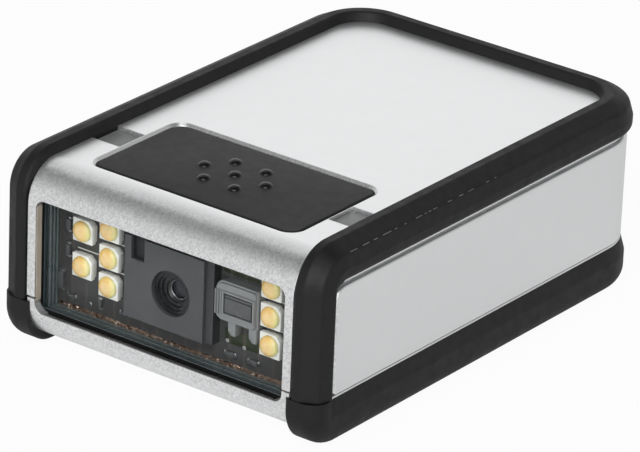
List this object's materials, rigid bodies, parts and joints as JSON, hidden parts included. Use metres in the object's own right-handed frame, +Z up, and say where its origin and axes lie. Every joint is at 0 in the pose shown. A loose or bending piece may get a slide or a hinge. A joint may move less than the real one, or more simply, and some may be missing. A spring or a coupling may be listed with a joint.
{
  "type": "hands-free barcode scanner",
  "caption": "Small fixed-mount barcode scanner: silver two-part housing, rubber bumpers, window with camera and lamps, top trigger pad, rear cable socket.",
  "frame": {"origin": "middle of the underside, on the plane of the surface that the rubber foot stands on", "axes": "+Z up, -Y towards the window that reads the codes, +X to the right as seen by someone who looks at the window, so +Y points to the cable socket"},
  "size_m": [0.05, 0.0718, 0.0262],
  "materials": {
    "silver_paint": "moulded plastic with fine metallic silver paint, satin",
    "bumper_rubber": "matt black rubber with a fine moulded grain",
    "trigger_pad": "finely textured dark grey plastic",
    "dark_plastic": "matt black moulded plastic",
    "board": "dark solder mask over fibreglass",
    "light_bar": "smoked translucent plastic",
    "window_clear": "clear polished pane",
    "lens_glass": "coated optical glass",
    "aimer_clear": "clear moulded optical plastic",
    "lamp_package": "off-white moulded package",
    "amber_dome": "clear dome over warm phosphor",
    "flex_film": "amber polyimide film",
    "steel": "zinc-plated steel",
    "gold_contact": "gold-plated spring wire",
    "brass_insert": "turned brass"
  },
  "bodies": {
    "scanner": {"upper_housing": "silver_paint", "lower_housing": "silver_paint", "upper_bumper": "bumper_rubber", "lower_bumper": "bumper_rubber", "switch_body": "steel", "switch_board": "board", "board_link": "dark_plastic", "status_light_bar": "light_bar", "status_lamp_left": "lamp_package", "status_lamp_right": "lamp_package", "window_gasket": "bumper_rubber", "window_pane": "window_clear", "window_frame": "dark_plastic", "lamp_board": "board", "camera_housing": "dark_plastic", "lens_barrel": "dark_plastic", "front_lens": "lens_glass", "rear_lens": "lens_glass", "image_sensor": "lens_glass", "sensor_board": "board", "aimer_lens": "aimer_clear", "aimer_lamp": "lamp_package", "lamp_1": "lamp_package", "lamp_2": "lamp_package", "lamp_3": "lamp_package", "lamp_4": "lamp_package", "lamp_5": "lamp_package", "lamp_6": "lamp_package", "lamp_7": "lamp_package", "lamp_8": "lamp_package", "lamp_dome_1": "amber_dome", "lamp_dome_2": "amber_dome", "lamp_dome_3": "amber_dome", "lamp_dome_4": "amber_dome", "lamp_dome_5": "amber_dome", "lamp_dome_6": "amber_dome", "lamp_dome_7": "amber_dome", "lamp_dome_8": "amber_dome", "flex_cable": "flex_film", "flex_connector": "lamp_package", "main_board": "board", "processor": "dark_plastic", "memory_chip": "dark_plastic", "beeper": "dark_plastic", "cable_socket": "dark_plastic", "socket_contacts": "gold_contact", "engine_screws": "steel", "board_screws": "steel", "housing_screws": "steel", "mounting_inserts": "brass_insert"},
    "trigger": {"trigger_button": "trigger_pad", "switch_plunger": "dark_plastic"}
  },
  "joints": [
    {"name": "trigger_press", "type": "slide", "parent": "scanner", "child": "trigger", "axis": [0, 0, -1], "range_m": [0, 0.0005], "stiffness_N_per_m": 3000, "springref_m": -0.0001}
  ]
}
